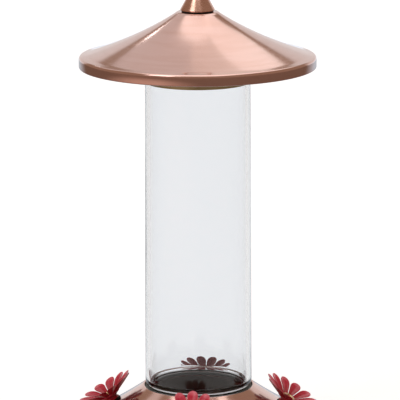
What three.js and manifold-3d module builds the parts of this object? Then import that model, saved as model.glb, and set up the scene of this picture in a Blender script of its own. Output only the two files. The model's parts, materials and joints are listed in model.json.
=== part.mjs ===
// A hanging nectar feeder: a glass jar screwed upside down into a two-piece copper base with four
// flower feeding ports, under a copper roof held by a cone-shaped finial with a swivelling loop.
// Millimetres, +Z up, origin at the centre of the basin's flat bottom. Flowers lie on +X, +Y, -X, -Y.

import * as THREE from 'three';
import { mergeVertices } from 'three/addons/utils/BufferGeometryUtils.js';
import Module from 'manifold-3d';

const wasm = await Module();
wasm.setup();

// Driving dimensions
const SHEET = 1.0;                 // copper sheet
const GAP = 0.3;                   // clearance between touching pieces
const WIDE_SIDES = 32;             // facets round the wide pieces
const SMALL_SIDES = 16;            // facets round the small pieces
const SEAT_Z = 44;                 // where the glass shoulder meets the base

const GLASS_R = 35;                // jar outside, at the bottom
const GLASS_TOP_R = 34.2;          // jar outside, at the top: a little moulding draft
const GLASS_WALL = 3;
const JAR_TOP_Z = SEAT_Z + 218;
const NECK_R = 31.4;
const NECK_BORE_R = 29.8;
const MOUTH_Z = 14;                // the nectar in the basin stands this high
const THREAD_DEPTH = 1.1;
const THREAD_LEAD = 4.2;           // jar thread, one turn
const THREAD_TURNS = 3;

const ROOF_FLAT_Z = SEAT_Z + 248.6;
const ROOF_FLAT_R = 13.3;
const ROOF_R = 77.1;
const ROOF_DROP = 29.8;            // from the flat centre to the bead
const ROOF_BEND_R = 39.0;          // the curve's control point, in plan
const ROOF_BEND_DROP = 17.2;
const BAND_HEIGHT = 6.3;
const BEAD_R = 1.5;

const CAP_BOTTOM_Z = SEAT_Z + 203.1;
const STUD_R = 2.5;
const FINIAL_R = 11.3;
const FINIAL_TOP_R = 4.2;
const FINIAL_HEIGHT = 13.3;
const WIRE_R = 1.5;
const LOOP_R = 10.5;

const COVER_RIM_R = 75;
const COVER_RIM_Z = 22;
const COVER_TOP_R = GLASS_R + 1.6;
const COVER_BEND_R = 56;
const COVER_BEND_Z = 30.9;
const BASIN_FLAT_R = 46;

const PORTS = 4;
const PORT_ALONG = 0.53;           // how far down the cover's curve the ports stand
const PORT_STEM = 7;               // from the cover to the port ring, along the port's axis
const PETALS = 12;
const PETAL_TIP_R = 19.5;
const PETAL_RISE = 4.8;             // tips above the port ring
const FLOWER_TURNS = [24, 21.5, 25, 28.5];  // degrees each flower is turned in its grommet

const COPPER = new THREE.MeshStandardMaterial({ color: 0xd9967c, roughness: 0.3, metalness: 1 });
const BRONZE = new THREE.MeshStandardMaterial({ color: 0x5a4a32, roughness: 0.5, metalness: 1 });
const STEEL = new THREE.MeshStandardMaterial({ color: 0xb8b8b8, roughness: 0.35, metalness: 1 });
const GOLD = new THREE.MeshStandardMaterial({ color: 0xd8be82, roughness: 0.3, metalness: 1 });
const RUBBER = new THREE.MeshStandardMaterial({ color: 0x202020, roughness: 0.8, metalness: 0 });
const CRIMSON = new THREE.MeshStandardMaterial({ color: 0xb02038, roughness: 0.35, metalness: 0 });
const PLASTIC = new THREE.MeshStandardMaterial({ color: 0x3a2f2a, roughness: 0.5, metalness: 0 });
const GLASS = new THREE.MeshStandardMaterial({
  color: 0xe4eaea, roughness: 0.03, metalness: 0, transparent: true, opacity: 0.35,
});

// Helpers. A profile is a list of [radius, height] pairs with the solid on its left-hand side.

function arc(centreR, centreZ, radius, fromDeg, toDeg, steps) {
  const points = [];
  for (let i = 0; i <= steps; i += 1) {
    const angle = THREE.MathUtils.degToRad(fromDeg + (toDeg - fromDeg) * i / steps);
    points.push([centreR + radius * Math.cos(angle), centreZ + radius * Math.sin(angle)]);
  }
  return points;
}

function curve(start, control, end, steps) {
  const line = new THREE.QuadraticBezierCurve(
    new THREE.Vector2(...start), new THREE.Vector2(...control), new THREE.Vector2(...end),
  );
  return line.getPoints(steps).map((point) => [point.x, point.y]);
}

function shifted(points, dr, dz) {
  return points.map(([r, z]) => [r + dr, z + dz]);
}

function turned(profile, sides) {
  const points = profile.map(([r, z]) => new THREE.Vector2(r, z));
  const geometry = new THREE.LatheGeometry(points, sides);
  geometry.rotateX(Math.PI / 2);
  return geometry;
}

function turnedRing(profile, sides) {
  return turned([...profile, profile[0]], sides);
}

function tubeRing(innerR, outerR, lowZ, highZ, sides) {
  return turnedRing([[innerR, lowZ], [outerR, lowZ], [outerR, highZ], [innerR, highZ]], sides);
}

function solid(geometry) {
  const bare = geometry.clone();
  bare.deleteAttribute('normal');
  bare.deleteAttribute('uv');
  const merged = mergeVertices(bare, 1e-4);
  const mesh = new wasm.Mesh({
    numProp: 3,
    vertProperties: new Float32Array(merged.attributes.position.array),
    triVerts: new Uint32Array(merged.index.array),
  });
  return new wasm.Manifold(mesh);
}

function geometryOf(manifold) {
  const mesh = manifold.getMesh();
  const geometry = new THREE.BufferGeometry();
  geometry.setAttribute('position', new THREE.BufferAttribute(mesh.vertProperties, 3));
  geometry.setIndex(new THREE.BufferAttribute(mesh.triVerts, 1));
  geometry.computeVertexNormals();
  return geometry;
}

const feeder = new THREE.Group();

function add(parent, name, geometry, material) {
  const mesh = new THREE.Mesh(geometry, material);
  mesh.name = name;
  parent.add(mesh);
}

// Base: basin, rim seal, cover, threaded collar and gasket

const BAND_BOTTOM_Z = COVER_RIM_Z - BEAD_R - BAND_HEIGHT + 1.3;
const BASIN_WALL_R = COVER_RIM_R - SHEET - GAP;
const BASIN_TOP_Z = BAND_BOTTOM_Z + 3;
const LEDGE_Z = SEAT_Z - 2;

function basin() {
  const beadTop = BAND_BOTTOM_Z - GAP;
  const beadBottom = beadTop - 1.8;
  const bowl = curve([BASIN_FLAT_R, 0], [66, 0.5], [BASIN_WALL_R, beadBottom], 5);
  const inside = curve([BASIN_WALL_R - SHEET, beadBottom + 0.6], [65, 1.5], [BASIN_FLAT_R - 0.5, SHEET], 5);
  return turned([
    [0, 0],
    ...bowl,
    [COVER_RIM_R, beadBottom],
    [COVER_RIM_R, beadTop],
    [BASIN_WALL_R, beadTop],
    [BASIN_WALL_R, BASIN_TOP_Z],
    [BASIN_WALL_R - SHEET, BASIN_TOP_Z],
    ...inside,
    [0, SHEET],
  ], WIDE_SIDES);
}

function rimSeal() {
  return tubeRing(
    BASIN_WALL_R - 2.2, BASIN_WALL_R - 0.2, BASIN_TOP_Z + GAP, BASIN_TOP_Z + GAP + 1.1, WIDE_SIDES,
  );
}

const COVER_TOP = [COVER_TOP_R, SEAT_Z + 0.5];
const COVER_BEND = [COVER_BEND_R, COVER_BEND_Z];
const COVER_RIM = [COVER_RIM_R - BEAD_R, COVER_RIM_Z];

function baseCover() {
  const outside = curve(COVER_TOP, COVER_BEND, COVER_RIM, 6);
  const inside = shifted(outside, -0.5, -1.15);
  const lipR = COVER_TOP_R - SHEET;
  const insideBandR = COVER_RIM_R - SHEET;
  const profile = [
    [33.2, LEDGE_Z - SHEET],
    [inside[0][0], LEDGE_Z - SHEET],
    ...inside.slice(1, -1),
    [insideBandR - 0.5, COVER_RIM_Z - BEAD_R - 0.3],
    [insideBandR, COVER_RIM_Z - BEAD_R - 1],
    [insideBandR, BAND_BOTTOM_Z],
    [COVER_RIM_R, BAND_BOTTOM_Z],
    ...arc(COVER_RIM_R - BEAD_R, COVER_RIM_Z - BEAD_R, BEAD_R, 0, 90, 3),
    ...outside.slice(0, -1).reverse(),
    [lipR, SEAT_Z + 0.5],
    [lipR, LEDGE_Z],
    [33.2, LEDGE_Z],
  ];
  let cover = solid(turnedRing(profile, WIDE_SIDES));
  for (let port = 0; port < PORTS; port += 1) {
    const drill = new THREE.CylinderGeometry(4.2, 4.2, 12, SMALL_SIDES);
    drill.rotateX(Math.PI / 2);
    drill.applyMatrix4(portFrame(port).multiply(new THREE.Matrix4().makeTranslation(0, 0, -PORT_STEM)));
    cover = cover.subtract(solid(drill));
  }
  return geometryOf(cover);
}

function threadedCollar() {
  const boreR = NECK_R + THREAD_DEPTH + 0.45;
  const top = LEDGE_Z - SHEET - GAP;
  return turnedRing([
    [boreR, 20],
    [boreR + 2.6, 20],
    [boreR + 2.6, top - 2.4],
    [38.2, top - 2.4],
    [38.2, top - 1],
    [36, top],
    [boreR, top],
  ], WIDE_SIDES);
}

function neckGasket() {
  return tubeRing(NECK_R + 0.4, GLASS_R + 0.2, LEDGE_Z + GAP, SEAT_Z - 0.1, WIDE_SIDES);
}

// Glass jar, open at the mouth, with three thread turns on its neck

function jar() {
  const bore = NECK_BORE_R;
  const innerR = GLASS_R - GLASS_WALL;
  const innerTopR = GLASS_TOP_R - GLASS_WALL;
  const shoulder = 5;
  const bottomZ = SEAT_Z + 0.2;
  const threads = [];
  for (let turn = 0; turn < THREAD_TURNS; turn += 1) {
    const z = MOUTH_Z + 7 + turn * THREAD_LEAD;
    threads.push([NECK_R, z], [NECK_R + THREAD_DEPTH, z + 0.9], [NECK_R + THREAD_DEPTH, z + 1.6], [NECK_R, z + 2.5]);
  }
  return turned([
    [0, JAR_TOP_Z - GLASS_WALL],
    ...arc(innerTopR - 4, JAR_TOP_Z - GLASS_WALL - 4, 4, 90, 0, 2),
    [innerR, SEAT_Z + 4.6],
    [innerR - 0.9, SEAT_Z + 3.6],
    [bore + 0.5, SEAT_Z + 3],
    [bore, SEAT_Z + 2.2],
    [bore, MOUTH_Z],
    [NECK_R, MOUTH_Z],
    ...threads,
    [NECK_R, bottomZ],
    ...arc(GLASS_R - shoulder, bottomZ + shoulder, shoulder, -70, 0, 4),
    ...arc(GLASS_TOP_R - 6, JAR_TOP_Z - 6, 6, 0, 90, 3),
    [0, JAR_TOP_Z],
  ], WIDE_SIDES);
}

// Roof: cap cemented round the jar's top, stud, nut, washer and the flared sheet

function topCap() {
  const innerR = GLASS_TOP_R + 0.35;
  const outerR = innerR + 0.8;
  const ceiling = JAR_TOP_Z + GAP;
  return turned([
    [0, ceiling],
    [innerR, ceiling],
    [innerR, CAP_BOTTOM_Z],
    [outerR, CAP_BOTTOM_Z],
    [outerR, ceiling],
    [outerR - 1, ceiling + 1],
    [0, ceiling + 1],
  ], WIDE_SIDES);
}

const FINIAL_Z = ROOF_FLAT_Z + 1.1;
const STUD_TOP_Z = FINIAL_Z + 6.4;
const ROOF_UNDER_Z = ROOF_FLAT_Z - SHEET;

function roofStud() {
  const foot = JAR_TOP_Z + 1 + 2 * GAP;
  return turned([
    [0, foot],
    [8, foot],
    [8, foot + 2],
    [STUD_R, foot + 2],
    [STUD_R, STUD_TOP_Z - 0.6],
    [STUD_R - 0.6, STUD_TOP_Z],
    [0, STUD_TOP_Z],
  ], SMALL_SIDES);
}

function roofNut() {
  const hexagon = new THREE.Shape();
  for (let corner = 0; corner < 6; corner += 1) {
    const angle = corner * Math.PI / 3;
    const x = 5.2 * Math.cos(angle);
    const y = 5.2 * Math.sin(angle);
    if (corner === 0) hexagon.moveTo(x, y);
    else hexagon.lineTo(x, y);
  }
  hexagon.closePath();
  const hole = new THREE.Path();
  hole.absarc(0, 0, STUD_R + GAP, 0, 2 * Math.PI, true);
  hexagon.holes.push(hole);
  const nut = new THREE.ExtrudeGeometry(hexagon, { depth: 4, bevelEnabled: false, curveSegments: 8 });
  nut.translate(0, 0, ROOF_UNDER_Z - 6);
  return nut;
}

function roofWasher() {
  const top = ROOF_UNDER_Z - GAP;
  return tubeRing(STUD_R + GAP, 8, top - 1.2, top, SMALL_SIDES);
}

function roof() {
  const rimZ = ROOF_FLAT_Z - ROOF_DROP;
  const bandBottom = rimZ - BAND_HEIGHT;
  const outside = curve(
    [ROOF_FLAT_R, ROOF_FLAT_Z], [ROOF_BEND_R, ROOF_FLAT_Z - ROOF_BEND_DROP], [ROOF_R - BEAD_R, rimZ], 7,
  );
  const inside = shifted(outside, -0.45, -1.15);
  const insideBandR = ROOF_R - SHEET;
  const boreR = STUD_R + GAP + 0.1;
  return turnedRing([
    [boreR, ROOF_UNDER_Z],
    [ROOF_FLAT_R - 0.5, ROOF_UNDER_Z],
    ...inside.slice(1, -1),
    [insideBandR - 0.5, rimZ - BEAD_R - 0.3],
    [insideBandR, rimZ - BEAD_R - 1],
    [insideBandR, bandBottom],
    [ROOF_R, bandBottom],
    ...arc(ROOF_R - BEAD_R, rimZ - BEAD_R, BEAD_R, 0, 90, 3),
    ...outside.slice(0, -1).reverse(),
    [boreR, ROOF_FLAT_Z],
  ], WIDE_SIDES);
}

// Finial, its washer and the hanging loop

const HEAD_TOP_Z = FINIAL_Z + 9.1;
const FINIAL_TOP_Z = FINIAL_Z + FINIAL_HEIGHT;

function finialWasher() {
  return tubeRing(STUD_R + GAP, FINIAL_R - 0.8, ROOF_FLAT_Z + 0.2, FINIAL_Z - 0.2, SMALL_SIDES);
}

function finial() {
  const threadR = STUD_R + GAP;
  const neckR = WIRE_R + GAP;
  return turnedRing([
    [threadR, FINIAL_Z],
    [FINIAL_R - 0.5, FINIAL_Z],
    [FINIAL_R, FINIAL_Z + 0.5],
    [FINIAL_TOP_R, FINIAL_TOP_Z - 0.4],
    [FINIAL_TOP_R - 0.5, FINIAL_TOP_Z],
    [neckR, FINIAL_TOP_Z],
    [neckR, HEAD_TOP_Z + GAP],
    [threadR, HEAD_TOP_Z + GAP],
  ], SMALL_SIDES);
}

function hangingLoop() {
  const ringZ = FINIAL_TOP_Z + 4 + LOOP_R + WIRE_R;
  const ring = new THREE.TorusGeometry(LOOP_R, WIRE_R, 8, 28);
  ring.rotateX(Math.PI / 2);
  ring.translate(0, 0, ringZ);
  const stemTop = ringZ - LOOP_R;
  const stem = turned([
    [0, HEAD_TOP_Z - 2],
    [STUD_R, HEAD_TOP_Z - 2],
    [STUD_R, HEAD_TOP_Z],
    [WIRE_R, HEAD_TOP_Z],
    [WIRE_R, stemTop],
    [0, stemTop],
  ], 10);
  return geometryOf(solid(ring).add(solid(stem)));
}

// Flower ports. In a port's own frame +Z runs out along its axis and the port ring is at the origin.

function portFrame(port) {
  const line = new THREE.QuadraticBezierCurve(
    new THREE.Vector2(...COVER_TOP), new THREE.Vector2(...COVER_BEND), new THREE.Vector2(...COVER_RIM),
  );
  const foot = line.getPoint(PORT_ALONG);
  const slope = line.getTangent(PORT_ALONG);
  const lean = Math.atan2(-slope.y, slope.x);
  const radius = foot.x + PORT_STEM * Math.sin(lean);
  const height = foot.y + PORT_STEM * Math.cos(lean);
  return new THREE.Matrix4()
    .makeRotationZ(port * 2 * Math.PI / PORTS)
    .multiply(new THREE.Matrix4().makeTranslation(radius, 0, height))
    .multiply(new THREE.Matrix4().makeRotationY(lean));
}

function petal(index) {
  const inner = 5.6;
  const outline = [
    [inner, 1.1], [PETAL_TIP_R - 7, 2.6], [PETAL_TIP_R - 3.2, 3.4], [PETAL_TIP_R - 0.9, 2.4], [PETAL_TIP_R, 0],
  ];
  const shape = new THREE.Shape();
  shape.moveTo(outline[0][0], -outline[0][1]);
  outline.slice(1, -1).forEach(([x, y]) => shape.lineTo(x, -y));
  [...outline].reverse().forEach(([x, y]) => shape.lineTo(x, y));
  shape.closePath();
  const geometry = new THREE.ExtrudeGeometry(shape, { depth: 0.9, bevelEnabled: false });
  const rise = Math.atan2(PETAL_RISE + 1.4, PETAL_TIP_R - inner);
  geometry.translate(-inner, 0, 0);
  geometry.rotateY(-rise);
  geometry.translate(inner, 0, -2.2);
  geometry.rotateZ(index * 2 * Math.PI / PETALS);
  return geometry;
}

function flower(turnDeg) {
  let whole = solid(turnedRing([
    [3.1, -PORT_STEM + 1.4],
    [5.2, -PORT_STEM + 1.4],
    [4.4, -4],
    [7.4, -1.5],
    [7.2, -0.7],
    [4.9, -1.5],
    [3.1, -1.5],
  ], PETALS));
  for (let index = 0; index < PETALS; index += 1) {
    whole = whole.add(solid(petal(index)));
  }
  return geometryOf(whole).rotateZ(THREE.MathUtils.degToRad(turnDeg));
}

function portRing() {
  return turnedRing([
    [2, -1.1],
    [4.4, -1.1],
    [4.4, -0.4],
    [3.8, 0.2],
    [2.6, 0.2],
    [2, -0.3],
  ], SMALL_SIDES);
}

function portTube() {
  const length = 29;
  return tubeRing(1.7, 2.7, -length, -1.5, 12);
}

function portGrommet() {
  const top = -PORT_STEM + 1.1;
  const bottom = -PORT_STEM - 2.4;
  return turnedRing([
    [3.0, bottom],
    [5.0, bottom],
    [5.0, bottom + 0.8],
    [3.8, bottom + 0.8],
    [3.8, -PORT_STEM + 0.3],
    [5.6, -PORT_STEM + 0.3],
    [5.6, top],
    [3.0, top],
  ], 16);
}

add(feeder, 'basin', basin(), COPPER);
add(feeder, 'rim_seal', rimSeal(), RUBBER);
add(feeder, 'base_cover', baseCover(), COPPER);
add(feeder, 'threaded_collar', threadedCollar(), PLASTIC);
add(feeder, 'neck_gasket', neckGasket(), RUBBER);
add(feeder, 'glass_jar', jar(), GLASS);
add(feeder, 'top_cap', topCap(), BRONZE);
add(feeder, 'roof_stud', roofStud(), STEEL);
add(feeder, 'roof_nut', roofNut(), STEEL);
add(feeder, 'roof_washer', roofWasher(), STEEL);
add(feeder, 'roof', roof(), COPPER);
add(feeder, 'finial_washer', finialWasher(), RUBBER);
add(feeder, 'finial', finial(), COPPER);
add(feeder, 'hanging_loop', hangingLoop(), COPPER);

for (let port = 0; port < PORTS; port += 1) {
  const group = new THREE.Group();
  group.applyMatrix4(portFrame(port));
  add(group, `flower_${port + 1}`, flower(FLOWER_TURNS[port]), CRIMSON);
  add(group, `port_ring_${port + 1}`, portRing(), GOLD);
  add(group, `port_tube_${port + 1}`, portTube(), PLASTIC);
  add(group, `port_grommet_${port + 1}`, portGrommet(), RUBBER);
  feeder.add(group);
}

export default feeder;
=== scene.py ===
import json
import math

import bpy
from mathutils import Matrix, Vector

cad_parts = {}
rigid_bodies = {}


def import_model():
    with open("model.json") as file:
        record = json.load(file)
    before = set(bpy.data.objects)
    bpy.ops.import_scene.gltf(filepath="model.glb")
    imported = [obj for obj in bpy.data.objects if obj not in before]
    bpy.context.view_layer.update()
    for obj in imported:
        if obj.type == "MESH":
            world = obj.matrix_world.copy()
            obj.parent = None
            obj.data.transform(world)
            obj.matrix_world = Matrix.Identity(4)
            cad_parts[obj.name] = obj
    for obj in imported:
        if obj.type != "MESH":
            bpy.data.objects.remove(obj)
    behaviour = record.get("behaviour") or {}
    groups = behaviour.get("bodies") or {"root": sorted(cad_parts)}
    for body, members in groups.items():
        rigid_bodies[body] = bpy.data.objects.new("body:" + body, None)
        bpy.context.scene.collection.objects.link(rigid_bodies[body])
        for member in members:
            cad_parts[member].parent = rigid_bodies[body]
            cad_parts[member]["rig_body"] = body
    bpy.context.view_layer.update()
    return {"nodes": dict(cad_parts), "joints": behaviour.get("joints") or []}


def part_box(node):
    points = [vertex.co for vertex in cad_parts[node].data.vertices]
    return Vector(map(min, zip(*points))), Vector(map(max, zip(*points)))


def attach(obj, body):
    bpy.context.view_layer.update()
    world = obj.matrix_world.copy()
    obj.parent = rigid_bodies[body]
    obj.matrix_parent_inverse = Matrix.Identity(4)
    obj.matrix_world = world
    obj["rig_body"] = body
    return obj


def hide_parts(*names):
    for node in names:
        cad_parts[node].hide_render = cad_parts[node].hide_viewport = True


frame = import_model()

MM = 0.001
NODES = frame["nodes"]
ON_AXIS = 1e-9          # metres: a radius under this is on the axis
SHARPEST_HALF = 0.05    # radians: half of the sharpest corner that a fillet is worked out for
EDGE_SHARE = 0.49       # the share of an edge that one fillet may take up
FULL_TURN = 2 * math.pi


# Sizes read from the frame, in metres

def radius_of(node):
    low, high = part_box(node)
    return (high.x - low.x) / 2


def bottom_of(node):
    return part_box(node)[0].z


def top_of(node):
    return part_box(node)[1].z


def body_of(node):
    return NODES[node]["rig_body"]


# Outlines are lists of (radius, height) with the solid on their left-hand side.

def rounded(corners, steps=5):
    """Rounds each (radius, height, fillet) corner of a closed outline; corners on the axis stay."""
    outline = []
    for i, (r, z, fillet) in enumerate(corners):
        here = Vector((r, z))
        if fillet <= 0:
            outline.append((r, z))
            continue
        before = Vector(corners[i - 1][:2]) - here
        after = Vector(corners[(i + 1) % len(corners)][:2]) - here
        half = max(before.angle(after) / 2, SHARPEST_HALF)
        reach = min(fillet / math.tan(half), EDGE_SHARE * before.length, EDGE_SHARE * after.length)
        start = here + before.normalized() * reach
        end = here + after.normalized() * reach
        for k in range(steps + 1):
            t = k / steps
            point = (1 - t) ** 2 * start + 2 * t * (1 - t) * here + t * t * end
            outline.append((point.x, point.y))
    return outline


def bend(start, control, end, steps):
    """Points (radius, height, 0) of a quadratic curve from start to end."""
    points = []
    for k in range(steps + 1):
        t = k / steps
        points.append(tuple(
            (1 - t) ** 2 * a + 2 * t * (1 - t) * b + t * t * c
            for a, b, c in zip(start, control, end)
        ) + (0,))
    return points


def moved(points, dr, dz):
    """The points shifted by dr outward and dz up."""
    return [(r + dr, z + dz, *rest) for r, z, *rest in points]


def mesh_object(name, vertices, faces, sharp=35):
    """A smooth-shaded piece, with edges over sharp degrees left sharp."""
    mesh = bpy.data.meshes.new(name)
    mesh.from_pydata(vertices, [], faces)
    mesh.validate()
    mesh.shade_smooth()
    mesh.set_sharp_from_angle(angle=math.radians(sharp))
    piece = bpy.data.objects.new(name, mesh)
    bpy.context.scene.collection.objects.link(piece)
    return piece


def lathe(name, outline, sides=192):
    """Turns an outline round the Z axis. It closes on itself, or starts and ends on the axis."""
    vertices, rows = [], []
    for r, z in outline:
        if r < ON_AXIS:
            rows.append([len(vertices)] * sides)
            vertices.append((0, 0, z))
            continue
        rows.append(list(range(len(vertices), len(vertices) + sides)))
        for j in range(sides):
            angle = FULL_TURN * j / sides
            vertices.append((r * math.cos(angle), r * math.sin(angle), z))
    pairs = list(zip(rows, rows[1:]))
    if outline[0][0] > ON_AXIS:
        pairs.append((rows[-1], rows[0]))
    faces = []
    for low, high in pairs:
        for j in range(sides):
            k = (j + 1) % sides
            quad = [low[j], low[k], high[k], high[j]]
            face = [v for n, v in enumerate(quad) if v != quad[n - 1]]
            if len(face) > 2:
                faces.append(face)
    return mesh_object(name, vertices, faces)


def dress(piece, material, node):
    """Gives a piece its material and makes it stand for its CAD node."""
    piece.data.materials.clear()
    piece.data.materials.append(material)
    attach(piece, body_of(node))
    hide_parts(node)
    return piece


# Materials

class Shader:
    """A material's node tree, with short calls to add and join nodes."""

    def __init__(self, name):
        self.material = bpy.data.materials.new(name)
        self.material.use_nodes = True
        self.tree = self.material.node_tree
        self.surface = self.tree.nodes["Principled BSDF"]
        self.output = self.tree.nodes["Material Output"]

    def set(self, **values):
        for key, value in values.items():
            self.surface.inputs[key.replace("_", " ")].default_value = value

    def node(self, kind, values=None, **settings):
        made = self.tree.nodes.new(kind)
        for key, value in settings.items():
            setattr(made, key, value)
        for key, value in (values or {}).items():
            if isinstance(value, bpy.types.NodeSocket):
                self.tree.links.new(value, made.inputs[key])
            else:
                made.inputs[key].default_value = value
        return made

    def link(self, output, key):
        self.tree.links.new(output, self.surface.inputs[key])

    def coordinates(self):
        return self.node("ShaderNodeTexCoord").outputs["Object"]

    def noise(self, vector, scale, detail=2.0, roughness=0.5):
        made = self.node("ShaderNodeTexNoise", {
            "Vector": vector, "Scale": scale, "Detail": detail, "Roughness": roughness,
        })
        return made.outputs["Fac"]

    def ramp(self, factor, low, high, start=0.3, end=0.7):
        """A value or a colour that runs from low to high as factor runs from start to end."""
        made = self.node("ShaderNodeValToRGB", {"Fac": factor})
        for element, place, colour in zip(made.color_ramp.elements, (start, end), (low, high)):
            element.position = place
            element.color = (*colour, 1) if isinstance(colour, tuple) else (colour,) * 3 + (1,)
        return made.outputs["Color"]

    def bump(self, height, distance, strength=1.0, normal=None):
        values = {"Height": height, "Distance": distance, "Strength": strength}
        if normal is not None:
            values["Normal"] = normal
        return self.node("ShaderNodeBump", values).outputs["Normal"]

    def flattened(self, place):
        """The place with its height taken away."""
        return self.node("ShaderNodeVectorMath", {0: place, 1: (1, 1, 0)}, operation="MULTIPLY").outputs[0]

    def between(self, value, start, end):
        """0 to 1 as value runs from start to end."""
        values = {"Value": value, "From Min": start, "From Max": end}
        return self.node("ShaderNodeMapRange", values).outputs[0]

    def mixed(self, factor, first, second):
        """A colour that runs from first to second as factor runs from 0 to 1."""
        values = {"Factor": factor, "A": first, "B": second}
        return self.node("ShaderNodeMix", values, data_type="RGBA").outputs["Result"]

    def around_axis(self, turns, across):
        """Coordinates in which a noise is drawn out round the Z axis, as a spun sheet is brushed."""
        place = self.coordinates()
        flat = self.flattened(place)
        unit = self.node("ShaderNodeVectorMath", {0: flat}, operation="NORMALIZE").outputs[0]
        round_axis = self.node(
            "ShaderNodeVectorMath", {0: unit, "Scale": turns}, operation="SCALE").outputs[0]
        distance = self.node("ShaderNodeVectorMath", {0: flat}, operation="LENGTH").outputs["Value"]
        height = self.node("ShaderNodeSeparateXYZ", {0: place}).outputs["Z"]
        path = self.node("ShaderNodeMath", {0: distance, 1: height}, operation="SUBTRACT").outputs[0]
        depth = self.node("ShaderNodeMath", {0: path, 1: across}, operation="MULTIPLY").outputs[0]
        along = self.node("ShaderNodeCombineXYZ", {"Z": depth}).outputs[0]
        return self.node("ShaderNodeVectorMath", {0: round_axis, 1: along}, operation="ADD").outputs[0]


def brushed_copper(name, light, dark, roughness=0.15):
    """Spun copper: fine brush lines round the axis under a clear lacquer."""
    shader = Shader(name)
    brush = shader.noise(shader.around_axis(2.2, 2600), 1.0, 3.0, 0.6)
    bands = shader.noise(shader.around_axis(0.9, 130), 1.0, 2.0)
    clouds = shader.noise(shader.coordinates(), 34, 4.0, 0.62)
    patina = shader.node("ShaderNodeMath", {0: bands, 1: clouds}, operation="MULTIPLY").outputs[0]
    shader.link(shader.ramp(patina, dark, light, 0.14, 0.3), "Base Color")
    rough = shader.node("ShaderNodeMapRange", {
        "Value": brush, "From Min": 0.3, "From Max": 0.7,
        "To Min": roughness - 0.03, "To Max": roughness + 0.04,
    }).outputs[0]
    shader.link(rough, "Roughness")
    shader.link(shader.bump(brush, 0.00001, 0.35), "Normal")
    tangent = shader.node("ShaderNodeTangent", direction_type="RADIAL", axis="Z")
    shader.link(tangent.outputs[0], "Tangent")
    shader.set(Metallic=1.0, Anisotropic=0.3, Anisotropic_Rotation=0.25)
    shader.set(Coat_Weight=1.0, Coat_Roughness=0.1, Coat_IOR=1.45)
    return shader.material


def dark_bronze():
    """The olive-brown metal of the top cap: aged bronze, with painted shade from the roof over it worked
    into its dark tone.
    """
    shader = Shader("dark_bronze")
    blotch = shader.noise(shader.coordinates(), 60, 5.0, 0.65)
    # Painted shade: the olive-brown colours are held dark, as the cap looks in the roof's shadow.
    shader.link(shader.ramp(blotch, (0.38, 0.3, 0.15), (0.6, 0.48, 0.27), 0.35, 0.68), "Base Color")
    shader.link(shader.ramp(blotch, 0.34, 0.52), "Roughness")
    shader.link(shader.bump(shader.noise(shader.around_axis(3, 1500), 1.0), 0.00002, 0.4), "Normal")
    shader.set(Metallic=0.85)
    return shader.material


def clear_glass():
    """Glass with slow waves, a few smudges and a faint green tint in its thickness."""
    shader = Shader("clear_glass")
    flow = shader.noise(shader.around_axis(2.4, 9), 1.0, 1.5)
    ripple = shader.noise(shader.around_axis(9, 22), 1.0, 2.0)
    first = shader.bump(flow, 0.0004, 0.25)
    shader.link(shader.bump(ripple, 0.00006, 0.12, first), "Normal")
    smudge = shader.noise(shader.coordinates(), 45, 3.0)
    shader.link(shader.ramp(smudge, 0.0, 0.018, 0.45, 0.75), "Roughness")
    shader.set(Base_Color=(0.885, 0.91, 0.935, 1), Transmission_Weight=1.0, IOR=1.5)
    tint = {"Color": (0.58, 0.74, 0.76, 1), "Density": 16.0}
    body = shader.node("ShaderNodeVolumeAbsorption", tint)
    shader.tree.links.new(body.outputs[0], shader.output.inputs["Volume"])
    return shader.material


def rubber(name, dark, light):
    shader = Shader(name)
    dust = shader.noise(shader.coordinates(), 260, 4.0, 0.7)
    shader.link(shader.ramp(dust, dark, light, 0.4, 0.75), "Base Color")
    shader.link(shader.ramp(dust, 0.5, 0.72), "Roughness")
    shader.link(shader.bump(dust, 0.00006, 0.4), "Normal")
    shader.set(IOR=1.52)
    return shader.material


def dark_plastic():
    shader = Shader("dark_plastic")
    grain = shader.noise(shader.coordinates(), 420, 3.0, 0.6)
    shader.link(shader.ramp(grain, (0.14, 0.095, 0.068), (0.2, 0.14, 0.105)), "Base Color")
    shader.link(shader.ramp(grain, 0.36, 0.5), "Roughness")
    shader.link(shader.bump(grain, 0.00003, 0.3), "Normal")
    return shader.material


def steel():
    shader = Shader("zinc_steel")
    spangle = shader.noise(shader.coordinates(), 700, 3.0, 0.6)
    shader.link(shader.ramp(spangle, (0.45, 0.45, 0.46), (0.66, 0.66, 0.65)), "Base Color")
    shader.link(shader.ramp(spangle, 0.28, 0.45), "Roughness")
    shader.set(Metallic=1.0)
    return shader.material


def gold_brass():
    shader = Shader("gold_brass")
    wear = shader.noise(shader.coordinates(), 500, 4.0, 0.6)
    shader.link(shader.ramp(wear, (0.62, 0.45, 0.2), (0.82, 0.68, 0.4)), "Base Color")
    shader.link(shader.ramp(wear, 0.2, 0.34), "Roughness")
    shader.set(Metallic=1.0)
    return shader.material


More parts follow.
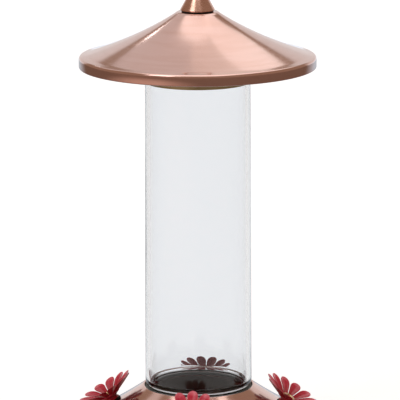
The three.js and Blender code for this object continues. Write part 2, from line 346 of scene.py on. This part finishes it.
def crimson_plastic():
    """Petal plastic: darker in the middle, with painted shade underneath and a painted highlight where the
    tips turn pale.
    """
    shader = Shader("crimson_plastic")
    place = shader.coordinates()
    flat = shader.flattened(place)
    reach = shader.node("ShaderNodeVectorMath", {0: flat}, operation="LENGTH").outputs["Value"]
    mottle = shader.noise(place, 520, 4.0, 0.6)
    wobble = shader.node("ShaderNodeMath", {0: mottle, 1: 0.004}, operation="MULTIPLY").outputs[0]
    spread = shader.node("ShaderNodeMath", {0: reach, 1: wobble}, operation="ADD").outputs[0]
    along = shader.between(spread, 0.006, 0.021)
    inner = shader.ramp(along, (0.42, 0.006, 0.02), (0.8, 0.03, 0.085), 0.0, 1.0)
    # Painted highlight: the outermost rim of each petal turns pale pink.
    upper = shader.mixed(shader.between(spread, 0.0185, 0.0208), inner, (0.95, 0.2, 0.27, 1))
    # Painted shade: faces that point back along the port axis, the petals' undersides, turn deep crimson.
    facing = shader.node("ShaderNodeTexCoord").outputs["Normal"]
    painted_shade_facing = shader.node("ShaderNodeSeparateXYZ", {0: facing}).outputs["Z"]
    painted_light_tone = shader.mixed(shader.between(painted_shade_facing, -0.3, 0.3), (0.3, 0.005, 0.014, 1), upper)
    shader.link(painted_light_tone, "Base Color")
    shader.link(shader.ramp(mottle, 0.26, 0.4), "Roughness")
    shader.link(shader.bump(mottle, 0.00008, 0.35), "Normal")
    shader.set(IOR=1.5, Subsurface_Weight=0.12, Subsurface_Radius=(0.002, 0.0005, 0.0004))
    shader.set(Coat_Weight=0.4, Coat_Roughness=0.1)
    return shader.material


def pale_floor():
    """White paper, with a stand-in for mirrored rays: a painted reflection, bright behind the feeder, dim in
    front of it, with a warm painted pool of light off to the front left.
    """
    shader = Shader("pale_floor")
    tooth = shader.noise(shader.coordinates(), 40, 3.0)
    shader.link(shader.ramp(tooth, (0.86, 0.86, 0.86), (0.9, 0.9, 0.9)), "Base Color")
    shader.set(Roughness=0.8, Emission_Color=(0.95, 0.98, 1, 1), Emission_Strength=0.62)
    place = shader.coordinates()
    # Painted light for mirrored rays: a warm glowing pool on the floor to the front left, fading to dim.
    painted_pool_centre = (-0.85, -0.85, 0)
    from_painted_pool = shader.node("ShaderNodeVectorMath", {0: place, 1: painted_pool_centre}, operation="DISTANCE")
    painted_light_pool = shader.ramp(from_painted_pool.outputs["Value"], (0.52, 0.35, 0.28), (0.16, 0.1, 0.072), 0.3, 1.0)
    from_front = shader.node("ShaderNodeVectorMath", {0: place, 1: (0, 0.16, 0)}, operation="ADD").outputs[0]
    bearing = shader.node("ShaderNodeVectorMath", {0: from_front}, operation="NORMALIZE").outputs[0]
    backward = shader.node("ShaderNodeSeparateXYZ", {0: bearing}).outputs["Y"]
    # Painted reflection: a cool glow behind the feeder. Camera and transmitted rays still see the plain
    # paper.
    painted_light_tone = shader.mixed(shader.between(backward, 0.72, 0.92), painted_light_pool, (0.5, 0.54, 0.59, 1))
    mirrored = shader.node("ShaderNodeEmission", {"Color": painted_light_tone}).outputs[0]
    ray = shader.node("ShaderNodeLightPath").outputs
    kinds = {0: ray["Is Glossy Ray"], 1: ray["Is Transmission Ray"]}
    reflected = shader.node("ShaderNodeMath", kinds, operation="SUBTRACT", use_clamp=True).outputs[0]
    mix = shader.node("ShaderNodeMixShader", {0: reflected, 1: shader.surface.outputs[0], 2: mirrored})
    shader.tree.links.new(mix.outputs[0], shader.output.inputs["Surface"])
    return shader.material


# Pieces. Each one stands for a CAD node and keeps its size.

SHEET = 1.0 * MM        # thickness of the copper sheet
FINE = 0.4 * MM         # a small fillet
STUD_BORE = 2.8 * MM    # holes and threads that the roof stud passes through


def roof_shell():
    rim_r, low, high = radius_of("roof"), bottom_of("roof"), top_of("roof")
    flat_r, bore = 13.3 * MM, 2.9 * MM
    bead_z = high - 29.8 * MM
    middle = (39.0 * MM, high - 17.2 * MM)
    bead_start = (rim_r - 2.6 * MM, bead_z + 1.1 * MM)
    top = bend((flat_r, high), middle, bead_start, 40)
    under = moved(top, -0.4 * MM, -1.1 * MM)
    inside = rim_r - SHEET
    bead, inner_bead, hem = 2.0 * MM, 1.2 * MM, 0.7 * MM
    corners = [
        (bore, high - SHEET, FINE / 2),
        (flat_r - FINE, high - SHEET, 0),
        *under[1:-1],
        (inside, bead_z - 1.6 * MM, inner_bead),
        (inside, low + 0.6 * MM, FINE / 2),
        (inside - 0.5 * MM, low, FINE / 2),
        (rim_r, low, hem),
        (rim_r, bead_z + 0.9 * MM, bead),
        *reversed(top[:-1]),
        (bore, high, FINE / 2),
    ]
    return dress(lathe("roof_shell", rounded(corners)), COPPER, "roof")


def finial_cone():
    base_r, low, high = radius_of("finial"), bottom_of("finial"), top_of("finial")
    tip_r, loop_hole_r = 4.2 * MM, 1.8 * MM
    ledge = high - 3.9 * MM
    corners = [
        (STUD_BORE, low, FINE),
        (base_r - 0.3 * MM, low, 0.3 * MM),
        (base_r, low + 0.5 * MM, 0.35 * MM),
        (tip_r, high - 0.3 * MM, 0.8 * MM),
        (tip_r - 0.6 * MM, high, 0.3 * MM),
        (loop_hole_r, high, 0.2 * MM),
        (loop_hole_r, ledge, 0),
        (STUD_BORE, ledge, 0),
    ]
    return dress(lathe("finial_cone", rounded(corners), 128), COPPER_CAST, "finial")


def washer(name, node, material, bore, fillet=0.25 * MM, sides=96):
    outer, low, high = radius_of(node), bottom_of(node), top_of(node)
    corners = [(bore, low), (outer, low), (outer, high), (bore, high)]
    ring = lathe(name, rounded([(r, z, fillet) for r, z in corners], 3), sides)
    return dress(ring, material, node)


def wire_ring(name, ring_r, wire_r, centre):
    """A closed ring of round wire that stands up in the X and Z plane."""
    vertices, faces = [], []
    around, across = 96, 20
    for i in range(around):
        a = FULL_TURN * i / around
        for j in range(across):
            b = FULL_TURN * j / across
            r = ring_r + wire_r * math.cos(b)
            vertices.append((r * math.cos(a), wire_r * math.sin(b), centre + r * math.sin(a)))
    for i in range(around):
        for j in range(across):
            k, m = (i + 1) % around, (j + 1) % across
            faces.append([i * across + j, k * across + j, k * across + m, i * across + m])
    return mesh_object(name, vertices, faces)


def hanging_wire():
    low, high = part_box("hanging_loop")
    wire_r = 1.5 * MM
    ring_r = (high.x - low.x) / 2 - wire_r
    centre = high.z - wire_r - ring_r
    ring = wire_ring("hanging_ring", ring_r, wire_r, centre)
    head_r, head_top = 2.5 * MM, low.z + 2.0 * MM
    stem_top = centre - ring_r
    outline = rounded([
        (0, low.z, 0),
        (head_r, low.z, 0.6 * MM),
        (head_r, head_top, 0.5 * MM),
        (wire_r, head_top, 0.2 * MM),
        (wire_r, stem_top - 1.5 * MM, 1.2 * MM),
        (wire_r + 0.9 * MM, stem_top, 0.5 * MM),
        (0, stem_top, 0),
    ])
    stem = lathe("hanging_stem", outline, 48)
    dress(ring, COPPER_WIRE, "hanging_loop")
    dress(stem, COPPER_WIRE, "hanging_loop")


def cap():
    """A shallow cup over the jar's closed end."""
    outer, low, high = radius_of("top_cap"), bottom_of("top_cap"), top_of("top_cap")
    inner = outer - 0.8 * MM
    corners = [
        (0, high - SHEET, 0),
        (inner, high - SHEET, 0.6 * MM),
        (inner, low, 0.2 * MM),
        (outer, low, 0.3 * MM),
        (outer, high, 1.6 * MM),
        (0, high, 0),
    ]
    return dress(lathe("top_cap_cup", rounded(corners)), BRONZE, "top_cap")


def threaded_stud():
    """A stud with a rolled thread on a round foot."""
    low, high = bottom_of("roof_stud"), top_of("roof_stud")
    radius, lead = 2.5 * MM, 0.8 * MM
    root = radius - 0.55 * lead
    foot_r, foot_height = 8 * MM, 2 * MM
    foot_top = low + foot_height
    turns = int((high - low - foot_height - 1.5 * lead) / lead)
    outline = [(0, low), (foot_r, low), (foot_r, foot_top), (radius, foot_top)]
    start = foot_top + lead
    for turn in range(turns):
        z = start + turn * lead
        outline += [(radius, z), (root, z + 0.35 * lead), (root, z + 0.5 * lead), (radius, z + 0.85 * lead)]
    outline += [(radius - 0.6 * MM, high), (0, high)]
    return dress(lathe("threaded_stud", outline, 48), STEEL, "roof_stud")


def hex_nut():
    low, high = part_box("roof_nut")
    corner_r = (high.x - low.x) / 2
    flat_r = corner_r * math.cos(math.pi / 6)
    mouth_r = STUD_BORE + 0.4 * MM
    face_share, lip, chamfer = 0.86, 0.3 * MM, 0.5 * MM
    steps = 48
    # Round rows have a radius. Hexagonal rows have the share of the nut's full width.
    rows = [
        ("round", STUD_BORE, low.z + lip),
        ("round", mouth_r, low.z),
        ("hexagon", face_share, low.z),
        ("hexagon", 1.0, low.z + chamfer),
        ("hexagon", 1.0, high.z - chamfer),
        ("hexagon", face_share, high.z),
        ("round", mouth_r, high.z),
        ("round", STUD_BORE, high.z - lip),
    ]
    vertices, faces = [], []
    for shape, size, z in rows:
        for j in range(steps):
            a = FULL_TURN * j / steps
            off_corner = abs((a + math.pi / 6) % (math.pi / 3) - math.pi / 6)
            r = size if shape == "round" else size * flat_r / math.cos(math.pi / 6 - off_corner)
            vertices.append((r * math.cos(a), r * math.sin(a), z))
    for i in range(len(rows)):
        here, above = i * steps, (i + 1) % len(rows) * steps
        for j in range(steps):
            k = (j + 1) % steps
            faces.append([here + j, here + k, above + k, above + j])
    return dress(mesh_object("hex_nut", vertices, faces, 25), STEEL, "roof_nut")


def jar():
    outer, low, high = radius_of("glass_jar"), bottom_of("glass_jar"), top_of("glass_jar")
    seat = bottom_of("base_cover") + 29.2 * MM
    foot = seat + 0.2 * MM
    top_r = outer - 0.8 * MM
    wall = 3.0 * MM
    neck_r, bore = 31.4 * MM, 29.8 * MM
    lead, depth, turns = 4.2 * MM, 1.1 * MM, 3
    corners = [
        (0, high - wall, 0),
        (top_r - wall, high - wall, 5 * MM),
        (outer - wall, seat + 3.6 * MM, 1.2 * MM),
        (bore, seat + 3.0 * MM, 1.2 * MM),
        (bore, low, 1.0 * MM),
        (neck_r, low, 0.9 * MM),
    ]
    for turn in range(turns):
        z = low + 7 * MM + turn * lead
        corners += [
            (neck_r, z, 0.4 * MM),
            (neck_r + depth, z + 0.8 * MM, 0.5 * MM),
            (neck_r + depth, z + 1.7 * MM, 0.5 * MM),
            (neck_r, z + 2.5 * MM, 0.4 * MM),
        ]
    corners += [
        (neck_r, foot, 0.3 * MM),
        *bend((neck_r + 0.8 * MM, foot), (outer, foot + 0.1 * MM), (outer, foot + 3.8 * MM), 14),
        (top_r, high, 7 * MM),
        (0, high, 0),
    ]
    return dress(lathe("glass_bottle", rounded(corners, 10), 256), GLASS, "glass_jar")


def cut(piece, cutter):
    """Takes cutter out of piece and deletes it."""
    modifier = piece.modifiers.new("cut", "BOOLEAN")
    modifier.operation, modifier.solver, modifier.object = "DIFFERENCE", "EXACT", cutter
    bpy.context.view_layer.update()
    result = bpy.data.meshes.new_from_object(piece.evaluated_get(bpy.context.evaluated_depsgraph_get()))
    piece.modifiers.clear()
    piece.data = result
    bpy.data.objects.remove(cutter)


def port_frames():
    """Each port's number, and the matrix that puts the port's own frame in the feeder."""
    frames = []
    for joint in frame["joints"]:
        if not joint["name"].startswith("flower_pull"):
            continue
        axis = Vector(joint["axis"]).normalized()
        number = joint["name"].rsplit("_", 1)[1]
        low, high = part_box(f"port_ring_{number}")
        ring_middle = -0.45 * MM
        out = Vector((axis.x, axis.y, 0)).normalized()
        side = Vector((0, 0, 1)).cross(out)
        place = Matrix((axis.cross(side) * -1, side, axis)).transposed().to_4x4()
        place.translation = (low + high) / 2 - axis * ring_middle
        frames.append((number, place))
    return frames


def cover():
    rim_r, low, high = radius_of("base_cover"), bottom_of("base_cover"), top_of("base_cover")
    bead_z = low + 6.5 * MM
    lip_r, hole_r = 36.6 * MM, 33.2 * MM
    ledge = high - 0.5 * MM - 2 * MM
    middle = (56 * MM, 30.9 * MM)
    top = bend((lip_r, high), middle, (rim_r - 2.2 * MM, bead_z + 0.3 * MM), 36)
    under = moved(top, -0.5 * MM, -1.1 * MM)
    inside = rim_r - SHEET
    bead, inner_bead = 2.5 * MM, 1.2 * MM
    corners = [
        (hole_r, ledge - SHEET, 0.3 * MM),
        (lip_r - 0.5 * MM, ledge - SHEET, 0),
        *under[3:-1],
        (inside, bead_z - 1.6 * MM, inner_bead),
        (inside, low, 0.2 * MM),
        (rim_r, low, 0.6 * MM),
        (rim_r, bead_z, bead),
        *reversed(top[1:-1]),
        (lip_r, high, 0.5 * MM),
        (lip_r - SHEET, high, 0.4 * MM),
        (lip_r - SHEET, ledge, 0.5 * MM),
        (hole_r, ledge, 0.3 * MM),
    ]
    shell = lathe("base_cover_shell", rounded(corners))
    drill_r, drill_low, drill_high = 4.2 * MM, -12 * MM, -2 * MM
    for number, place in port_frames():
        hole = [(0, drill_low), (drill_r, drill_low), (drill_r, drill_high), (0, drill_high)]
        drill = lathe(f"drill_{number}", hole, 48)
        drill.matrix_world = place
        cut(shell, drill)
    return dress(shell, COPPER, "base_cover")


def pan():
    rim_r, high = radius_of("basin"), top_of("basin")
    wall_r = rim_r - SHEET - 0.3 * MM
    bead_high = high - 3.3 * MM
    bead_low = bead_high - 1.8 * MM
    flat_r = 46 * MM
    bowl = bend((flat_r, 0), (66 * MM, 0.5 * MM), (wall_r, bead_low), 28)
    inner_wall = (wall_r - SHEET, bead_low + 0.6 * MM)
    hollow = bend(inner_wall, (65 * MM, 1.5 * MM), (flat_r - 0.5 * MM, SHEET), 28)
    corners = [
        (0, 0, 0),
        *bowl,
        (rim_r, bead_low, 0.8 * MM),
        (rim_r, bead_high, 0.8 * MM),
        (wall_r, bead_high, 0.2 * MM),
        (wall_r, high, 0.4 * MM),
        (wall_r - SHEET, high, 0.4 * MM),
        *hollow,
        (0, SHEET, 0),
    ]
    return dress(lathe("basin_pan", rounded(corners)), COPPER_INSIDE, "basin")


def collar():
    low, high = bottom_of("threaded_collar"), top_of("threaded_collar")
    bore, flange_r, lead_in_r = 32.95 * MM, radius_of("threaded_collar"), 36 * MM
    wall_r = bore + 2.6 * MM
    flange_z = high - 2.4 * MM
    corners = [
        (bore, low, 0.4 * MM),
        (wall_r, low, 0.4 * MM),
        (wall_r, flange_z, 0.4 * MM),
        (flange_r, flange_z, 0.3 * MM),
        (flange_r, high - MM, 0.3 * MM),
        (lead_in_r, high, 0.3 * MM),
        (bore, high, 0.3 * MM),
    ]
    ring = lathe("threaded_collar_ring", rounded(corners, 3))
    return dress(ring, DARK_PLASTIC, "threaded_collar")


# Flowers, made in a port's own frame: origin in the port ring, Z outward along the port

PETALS = 12
PETAL_IN = 5.0 * MM
PETAL_TIP = 19.5 * MM
PETAL_LENGTH = PETAL_TIP - PETAL_IN
PETAL_THICK = 0.8 * MM
PETAL_THINNEST = 0.16 * MM
PETAL_STEPS_ALONG, PETAL_STEPS_ACROSS = 24, 16
FLOWER_TURNS = {"1": 24, "2": 21.5, "3": 25, "4": 28.5}  # degrees


def petal_half_width(u):
    """Half the width at u along the petal. Petals widen outward, then end in a round tip."""
    widest, turn, spread = 3.45 * MM, 0.74, 0.245
    if u > turn:
        return widest * math.sqrt(max(0.0, 1 - ((u - turn) / (1 - turn)) ** 2))
    return min(widest, spread * (PETAL_IN + PETAL_LENGTH * u))


def petal_height(u, v):
    """Height along the flower's axis at u along the petal and v, from -1 to 1, across it."""
    rise = -1.9 * MM + 6.8 * MM * u ** 0.95
    cupped = 0.55 * MM * v * v * math.sin(math.pi * min(1, 0.15 + 0.8 * u))
    rim = 0.36 * MM * math.exp(-((abs(v) - 0.8) / 0.12) ** 2)
    vein = -0.36 * MM * math.exp(-(v / 0.13) ** 2)
    side_veins = 0.07 * MM * math.cos(22 * u + 3.2 * abs(v)) * math.sin(math.pi * abs(v))
    fade = math.sin(math.pi * min(1, u * 1.02)) ** 0.5
    return rise + cupped + (rim + vein + side_veins) * fade


def petal_points(turn, under):
    """The upper face of one petal, or its underside, as rows of points from the middle outward."""
    points = []
    for i in range(PETAL_STEPS_ALONG + 1):
        u = math.sin(0.5 * math.pi * i / PETAL_STEPS_ALONG)
        for j in range(PETAL_STEPS_ACROSS + 1):
            v = math.sin(0.5 * math.pi * (2 * j / PETAL_STEPS_ACROSS - 1))
            width = max(petal_half_width(u), 0.05 * MM)
            thick = PETAL_THICK * (1 - 0.35 * u) * math.sqrt(max(0.0, 1 - 0.9 * v * v))
            x, y = PETAL_IN + PETAL_LENGTH * u, v * width
            z = petal_height(u, v) - under * max(thick, PETAL_THINNEST)
            points.append((
                x * math.cos(turn) - y * math.sin(turn), x * math.sin(turn) + y * math.cos(turn), z))
    return points


def petal_faces(first):
    """Faces of one closed petal whose first point has this index."""
    along, across = PETAL_STEPS_ALONG, PETAL_STEPS_ACROSS
    row, sheet = across + 1, (along + 1) * (across + 1)
    faces = []
    for i in range(along):
        for j in range(across):
            a = first + i * row + j
            b = a + sheet
            faces.append([a, a + row, a + row + 1, a + 1])
            faces.append([b, b + 1, b + row + 1, b + row])
    edge = [i * row for i in range(along + 1)] + [along * row + j for j in range(1, row)]
    edge += [i * row + across for i in range(along - 1, -1, -1)] + list(range(across - 1, 0, -1))
    for n, here in enumerate(edge):
        a, b = first + here, first + edge[(n + 1) % len(edge)]
        faces.append([a, a + sheet, b + sheet, b])
    return faces


def petals(number, place):
    """Twelve closed, thin, cupped petals."""
    vertices, faces = [], []
    for index in range(PETALS):
        turn = index * FULL_TURN / PETALS
        faces += petal_faces(len(vertices))
        vertices += petal_points(turn, 0) + petal_points(turn, 1)
    blossom = mesh_object(f"petals_{number}", vertices, faces, 60)
    blossom.matrix_world = place @ Matrix.Rotation(math.radians(FLOWER_TURNS[number]), 4, "Z")
    return dress(blossom, CRIMSON, f"flower_{number}")


def port_lathe(name, place, corners, material, node, steps, sides):
    """A turned piece on a port's axis."""
    piece = lathe(name, rounded(corners, steps), sides)
    piece.matrix_world = place
    return dress(piece, material, node)


def flower(number, place):
    """One flower with its gold ring, feeding tube and grommet."""
    petals(number, place)
    foot, cup_r, foot_r = -5.6 * MM, 3.1 * MM, 5.2 * MM
    port_lathe(f"flower_cup_{number}", place, [
        (cup_r, foot, 0),
        (foot_r, foot, 0.3 * MM),
        (foot_r, foot + 0.7 * MM, 0.3 * MM),
        (4.3 * MM, -4.2 * MM, 0.6 * MM),
        (4.6 * MM, -3.4 * MM, 0.8 * MM),
        (7.6 * MM, -1.9 * MM, 0.4 * MM),
        (7.2 * MM, -1.1 * MM, 0.3 * MM),
        (4.9 * MM, -1.6 * MM, 0.2 * MM),
        (cup_r, -1.6 * MM, 0),
    ], CRIMSON, f"flower_{number}", 4, 72)
    ring_in, ring_out, crown = 2.0 * MM, 4.4 * MM, 0.2 * MM
    port_lathe(f"gold_ring_{number}", place, [
        (ring_in, -1.1 * MM, 0.1 * MM),
        (ring_out, -1.1 * MM, 0.2 * MM),
        (ring_out, -0.3 * MM, 0.5 * MM),
        (3.6 * MM, crown, 0.5 * MM),
        (2.7 * MM, crown, 0.5 * MM),
        (ring_in, -0.4 * MM, 0.4 * MM),
    ], GOLD, f"port_ring_{number}", 5, 72)
    tube_in, tube_out, tube_low, tube_high = 1.7 * MM, 2.7 * MM, -29 * MM, -1.5 * MM
    port_lathe(f"feeding_tube_{number}", place, [
        (tube_in, tube_low, 0.2 * MM),
        (tube_out, tube_low, 0.4 * MM),
        (tube_out, tube_high, 0.2 * MM),
        (tube_in, tube_high, 0.2 * MM),
    ], DARK_PLASTIC, f"port_tube_{number}", 3, 48)
    bore, waist, lower_lip, upper_lip = 3.0 * MM, 3.8 * MM, 5.0 * MM, 5.6 * MM
    low, seat = -9.4 * MM, -7 * MM
    port_lathe(f"grommet_ring_{number}", place, [
        (bore, low, 0.2 * MM),
        (lower_lip, low, 0.4 * MM),
        (lower_lip, low + 0.8 * MM, 0.2 * MM),
        (waist, low + 0.8 * MM, 0.2 * MM),
        (waist, seat + 0.3 * MM, 0.1 * MM),
        (upper_lip, seat + 0.3 * MM, 0.3 * MM),
        (upper_lip, seat + 1.1 * MM, 0.5 * MM),
        (bore, seat + 1.1 * MM, 0.2 * MM),
    ], RUBBER, f"port_grommet_{number}", 3, 64)


# Studio: floor, lights and camera

COOL_WHITE = (0.86, 0.93, 1)


def floor():
    reach = 9
    vertices = [(-reach, -reach, 0), (reach, -reach, 0), (reach, reach, 0), (-reach, reach, 0)]
    ground = mesh_object("floor", vertices, [[0, 1, 2, 3]])
    ground.data.materials.append(pale_floor())


def softbox(name, place, aim, width, height, radiance, colour=(1, 1, 1)):
    """A rectangular lamp that reflections can see and the camera can't."""
    lamp = bpy.data.lights.new(name, "AREA")
    lamp.shape, lamp.size, lamp.size_y = "RECTANGLE", width, height
    lamp.energy = radiance * math.pi * width * height
    lamp.color = colour
    box = bpy.data.objects.new(name, lamp)
    bpy.context.scene.collection.objects.link(box)
    box.location = place
    box.rotation_euler = (Vector(aim) - Vector(place)).to_track_quat("-Z", "Y").to_euler()
    box.visible_camera = False
    return box


def overhead(name, x, y, width, depth, radiance, colour=(1, 1, 1)):
    """A softbox level with the ceiling, facing down."""
    ceiling = 2.2
    return softbox(name, (x, y, ceiling), (x, y, 0), width, depth, radiance, colour)


def backdrop_panel(name, z, height, radiance):
    """A wide upright softbox behind the feeder."""
    behind, width = 2.6, 5.0
    return softbox(name, (0, behind, z), (0, 0, z), width, height, radiance, COOL_WHITE)


def room():
    """The camera sees white round the feeder. Everything else sees a dim, warm room."""
    world = bpy.data.worlds.new("studio")
    world.use_nodes = True
    nodes, links = world.node_tree.nodes, world.node_tree.links
    walls = nodes["Background"]
    walls.inputs["Color"].default_value = (0.28, 0.19, 0.14, 1)
    backdrop = nodes.new("ShaderNodeBackground")
    backdrop.inputs["Color"].default_value = (1, 1, 1, 1)
    backdrop.inputs["Strength"].default_value = 1.02
    seen = nodes.new("ShaderNodeLightPath").outputs["Is Camera Ray"]
    mix = nodes.new("ShaderNodeMixShader")
    links.new(seen, mix.inputs[0])
    links.new(walls.outputs[0], mix.inputs[1])
    links.new(backdrop.outputs[0], mix.inputs[2])
    links.new(mix.outputs[0], nodes["World Output"].inputs["Surface"])
    bpy.context.scene.world = world
    bpy.context.scene.view_settings.view_transform = "Standard"


def studio():
    """Between the panels overhead and those behind, the copper mirrors a dark line."""
    room()
    overhead("overhead", -0.05, -0.23, width=1.9, depth=2.45, radiance=0.86)
    overhead("overhead_right", 0.57, 2.15, width=0.74, depth=2.3, radiance=0.77)
    overhead("overhead_middle", 0, 2.15, width=0.4, depth=2.3, radiance=0.47)
    overhead("overhead_left", -1.05, 2.05, width=1.7, depth=2.1, radiance=0.35, colour=COOL_WHITE)
    backdrop_panel("backdrop_low", z=0.35, height=0.7, radiance=0.52)
    backdrop_panel("backdrop_high", z=1.07, height=0.75, radiance=0.44)
    softbox("left_strip", (-0.8, 1.6, 1.31), (0, 0, 0.28), width=0.06, height=0.08, radiance=5.0)
    softbox("key", (-0.95, -1.25, 1.8), (0, 0, 0.2), width=0.9, height=0.9, radiance=2.0)


def camera():
    lens, sensor, distance = 322.2, 36, 2.339
    azimuth, elevation, roll = math.radians(5), math.radians(11.7), math.radians(0.15)
    aim_height = top_of("base_cover") - 0.5 * MM + 124.2 * MM
    aim_right = 1.3 * MM
    back = Vector((
        math.sin(azimuth) * math.cos(elevation),
        -math.cos(azimuth) * math.cos(elevation),
        math.sin(elevation),
    ))
    right = Vector((math.cos(azimuth), math.sin(azimuth), 0))
    data = bpy.data.cameras.new("camera")
    data.lens, data.sensor_width = lens, sensor
    data.clip_end = 100
    eye = bpy.data.objects.new("camera", data)
    bpy.context.scene.collection.objects.link(eye)
    eye.location = Vector((0, 0, aim_height)) + right * aim_right + back * distance
    look = (-back).to_track_quat("-Z", "Y").to_matrix()
    eye.rotation_euler = (look @ Matrix.Rotation(-roll, 3, "Z")).to_euler()
    bpy.context.scene.camera = eye


camera()
studio()
floor()

COPPER = brushed_copper("brushed_copper", (0.92, 0.635, 0.57), (0.88, 0.585, 0.51))
COPPER_CAST = brushed_copper("turned_copper", (0.88, 0.56, 0.46), (0.78, 0.46, 0.35), 0.26)
COPPER_WIRE = brushed_copper("copper_wire", (0.88, 0.54, 0.42), (0.72, 0.4, 0.3), 0.3)
COPPER_INSIDE = brushed_copper("basin_copper", (0.86, 0.52, 0.4), (0.7, 0.4, 0.3), 0.5)
BRONZE = dark_bronze()
GLASS = clear_glass()
RUBBER = rubber("black_rubber", (0.012, 0.012, 0.012), (0.03, 0.029, 0.027))
GREY_RUBBER = rubber("grey_rubber", (0.14, 0.16, 0.15), (0.2, 0.22, 0.21))
DARK_PLASTIC = dark_plastic()
STEEL = steel()
GOLD = gold_brass()
CRIMSON = crimson_plastic()

roof_shell()
finial_cone()
# Black rubber washer. Its black also stands in for the shadowed gap under the finial, as painted shade.
washer("finial_washer_ring", "finial_washer", RUBBER, STUD_BORE)
hanging_wire()
cap()
threaded_stud()
hex_nut()
washer("steel_washer", "roof_washer", STEEL, STUD_BORE)
jar()
cover()
pan()
collar()
washer("neck_gasket_ring", "neck_gasket", GREY_RUBBER, 31.8 * MM, 0.6 * MM, 192)
washer("rim_seal_ring", "rim_seal", RUBBER, radius_of("rim_seal") - 2 * MM, 0.4 * MM, 192)
for port_number, port_place in port_frames():
    flower(port_number, port_place)
